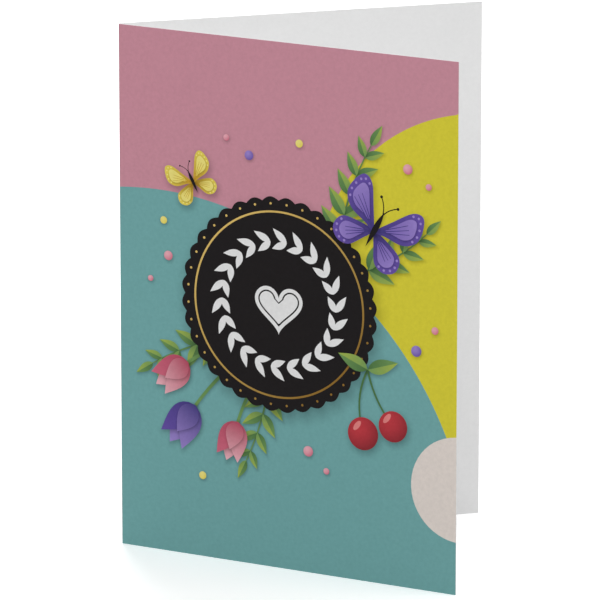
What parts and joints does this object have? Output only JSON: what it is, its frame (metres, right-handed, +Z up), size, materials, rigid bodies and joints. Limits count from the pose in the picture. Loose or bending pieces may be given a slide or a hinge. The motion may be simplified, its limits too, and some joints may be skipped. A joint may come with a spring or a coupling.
{
  "type": "greeting card",
  "caption": "Folded card that stands open on its lower edge, printed with colour fields and paper-cut motifs outside and plain white inside.",
  "frame": {"origin": "centre of the standing card's footprint, on the surface that it stands on", "axes": "+Z up along the fold; +X from the fold to the open mouth; the printed front panel is on the -Y side"},
  "size_m": [0.137, 0.1148, 0.21],
  "materials": {
    "card_board": "uncoated matt card, offset printed outside and bare white inside"
  },
  "bodies": {
    "root": {"folded_card": "card_board"}
  },
  "joints": []
}
